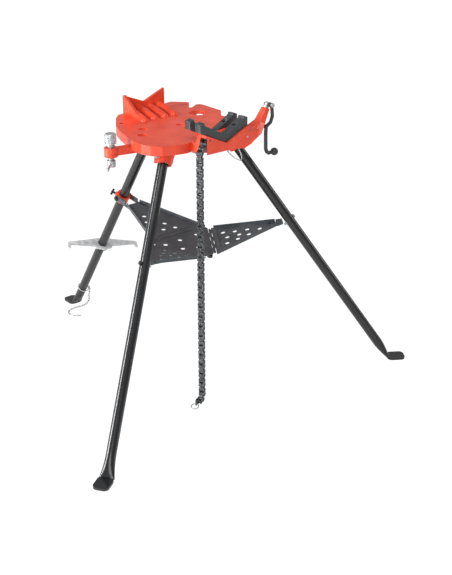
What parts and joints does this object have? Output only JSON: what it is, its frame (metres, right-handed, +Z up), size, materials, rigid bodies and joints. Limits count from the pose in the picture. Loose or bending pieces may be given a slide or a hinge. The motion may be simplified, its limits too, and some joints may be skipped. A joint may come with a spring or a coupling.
{
  "type": "tripod pipe vise stand",
  "caption": "Folding tripod stand with a chain pipe vise, a V pipe rest, a tool deck with a jack screw brace and a perforated folding tray.",
  "frame": {"origin": "on the floor at the middle of the outline of the three feet", "axes": "+Z up, +Y from the vise towards the pipe rest and the single rear leg, +X towards the crank"},
  "size_m": [1.3012, 1.1873, 0.9363],
  "materials": {
    "casting_paint": "semi-gloss enamel",
    "jaw_forging": "oiled black forging",
    "chain_steel": "oiled black steel",
    "zinc_plate": "bright zinc plating",
    "tube_paint": "semi-gloss black",
    "tray_paint": "semi-gloss black",
    "crank_paint": "satin black",
    "keeper_plate": "light grey",
    "dark_bolt": "black oxide"
  },
  "bodies": {
    "casting": {"vise_base": "casting_paint", "front_jaw": "jaw_forging", "rear_jaw": "jaw_forging", "jaw_bolts": "dark_bolt", "leg_pivot_bolts": "zinc_plate", "leg_pivot_nuts": "zinc_plate", "arm_pin": "zinc_plate", "neck_collar": "zinc_plate", "wire_bail": "zinc_plate", "chain_lead_plates": "chain_steel", "chain_lead_pins": "chain_steel"},
    "clamp_screw": {"vise_screw": "zinc_plate", "screw_head": "zinc_plate"},
    "crank": {"crank_handle": "crank_paint", "crank_pin": "zinc_plate", "crank_ball": "crank_paint"},
    "draw_nut": {"chain_nut": "dark_bolt"},
    "hanging_chain": {"chain_outer_plates": "chain_steel", "chain_inner_plates": "chain_steel", "chain_pins": "chain_steel"},
    "chain_tail": {"chain_tail_plates": "chain_steel", "chain_tail_pins": "chain_steel", "chain_tongue": "chain_steel"},
    "end_ring": {"chain_end_ring": "zinc_plate"},
    "left_leg": {"front_left_leg": "tube_paint", "left_tray_bolt": "dark_bolt", "left_tray_nut": "zinc_plate"},
    "right_leg": {"front_right_leg": "tube_paint", "right_tray_bolt": "zinc_plate", "right_tray_nut": "zinc_plate"},
    "back_leg": {"rear_leg": "tube_paint", "hanger_stop_ring": "dark_bolt", "foot_ring": "zinc_plate", "foot_chain": "zinc_plate"},
    "leg_keeper": {"hanger_plate": "keeper_plate"},
    "collar": {"tray_collar": "casting_paint", "collar_pins": "dark_bolt"},
    "thumb_screw": {"collar_screw": "dark_bolt"},
    "rear_leaf": {"tray_rear_leaf": "tray_paint", "tray_straps": "tray_paint", "strap_rivets": "dark_bolt", "tray_knob": "crank_paint", "tray_hinge_pins": "dark_bolt"},
    "left_leaf": {"tray_left_leaf": "tray_paint", "left_corner_bracket": "tray_paint", "left_bracket_rivets": "dark_bolt"},
    "right_leaf": {"tray_right_leaf": "tray_paint", "right_corner_bracket": "tray_paint", "right_bracket_rivets": "dark_bolt"},
    "brace_crown": {"brace_cap": "zinc_plate"},
    "brace_jack": {"brace_screw": "zinc_plate"},
    "tommy_bar": {"brace_bar": "zinc_plate"}
  },
  "joints": [
    {"name": "rear_leg_fold", "type": "hinge", "parent": "casting", "child": "back_leg", "pos_m": [0, -0.00024, 0.814], "axis": [1, 0, 0], "range_deg": [0, 56.58]},
    {"name": "front_left_leg_fold", "type": "hinge", "parent": "casting", "child": "left_leg", "pos_m": [-0.13906, -0.24524, 0.802], "axis": [0.8684, 0, -0.4959], "range_deg": [0, 108.27]},
    {"name": "front_right_leg_fold", "type": "hinge", "parent": "casting", "child": "right_leg", "pos_m": [0.13906, -0.24524, 0.802], "axis": [0.8684, 0, 0.4959], "range_deg": [0, 108.27]},
    {"name": "collar_slide", "type": "slide", "parent": "back_leg", "child": "collar", "axis": [0, 0.5508, -0.8346], "range_m": [0, 0.24591]},
    {"name": "tray_pitch", "type": "hinge", "parent": "collar", "child": "rear_leaf", "pos_m": [0, 0.18654, 0.531], "axis": [1, 0, 0], "range_deg": [-32.57, 0]},
    {"name": "left_leaf_fold", "type": "hinge", "parent": "rear_leaf", "child": "left_leaf", "pos_m": [0, -0.328, 0.46], "axis": [-0.5337, 0.8377, 0.1156], "range_deg": [0, 58.37]},
    {"name": "right_leaf_fold", "type": "hinge", "parent": "rear_leaf", "child": "right_leaf", "pos_m": [0, -0.328, 0.46], "axis": [-0.5337, -0.8377, -0.1156], "range_deg": [0, 58.37]},
    {"name": "keeper_swivel", "type": "hinge", "parent": "back_leg", "child": "leg_keeper", "pos_m": [0, 0.33108, 0.312], "axis": [0, 0.5508, -0.8346], "range_deg": [-20, 20]},
    {"name": "thumb_screw_turn", "type": "hinge", "parent": "collar", "child": "thumb_screw", "pos_m": [0, 0.18654, 0.531], "axis": [-0.6198, 0.655, 0.4323], "continuous": true},
    {"name": "clamp_screw_turn", "type": "hinge", "parent": "casting", "child": "clamp_screw", "pos_m": [0.2063, -0.319, 0.917], "axis": [0.4651, 0, 0.8852], "range_deg": [-10, 10]},
    {"name": "crank_fold", "type": "hinge", "parent": "clamp_screw", "child": "crank", "pos_m": [0.2125, -0.319, 0.9288], "axis": [0, -1, 0], "range_deg": [0, 100]},
    {"name": "draw_nut_slide", "type": "slide", "parent": "casting", "child": "draw_nut", "axis": [0.4651, 0, 0.8852], "range_m": [0, 0.025]},
    {"name": "chain_swing", "type": "hinge", "parent": "casting", "child": "hanging_chain", "pos_m": [-0.093, -0.364, 0.838], "axis": [-0.446, 0.895, 0], "range_deg": [0, 30]},
    {"name": "chain_tail_lift", "type": "hinge", "parent": "hanging_chain", "child": "chain_tail", "pos_m": [-0.093, -0.364, 0.022], "axis": [-0.446, 0.895, 0], "range_deg": [0, 60]},
    {"name": "end_ring_flip", "type": "hinge", "parent": "chain_tail", "child": "end_ring", "pos_m": [-0.1318, -0.38333, 0.0078], "axis": [-0.446, 0.895, 0], "range_deg": [0, 75]},
    {"name": "brace_rise", "type": "slide", "parent": "casting", "child": "brace_crown", "axis": [0, 0, 1], "range_m": [0, 0.011]},
    {"name": "brace_turn", "type": "hinge", "parent": "brace_crown", "child": "brace_jack", "pos_m": [-0.258, -0.139, 0.777], "axis": [0, 0, 1], "range_deg": [0, 792.01]},
    {"name": "tommy_bar_slide", "type": "slide", "parent": "brace_jack", "child": "tommy_bar", "axis": [-0.7001, -0.7141, 0], "range_m": [-0.046, 0]}
  ],
  "couplings": [
    {"joint": "front_left_leg_fold", "follows": "rear_leg_fold", "ratio": 1.9136},
    {"joint": "front_right_leg_fold", "follows": "rear_leg_fold", "ratio": 1.9136},
    {"joint": "collar_slide", "follows": "rear_leg_fold", "m_per_rad": 0.24903},
    {"joint": "tray_pitch", "follows": "rear_leg_fold", "ratio": -0.57544},
    {"joint": "left_leaf_fold", "follows": "rear_leg_fold", "ratio": 1.0316},
    {"joint": "right_leaf_fold", "follows": "rear_leg_fold", "ratio": 1.0316},
    {"joint": "brace_turn", "follows": "brace_rise", "rad_per_m": 1256.6}
  ]
}
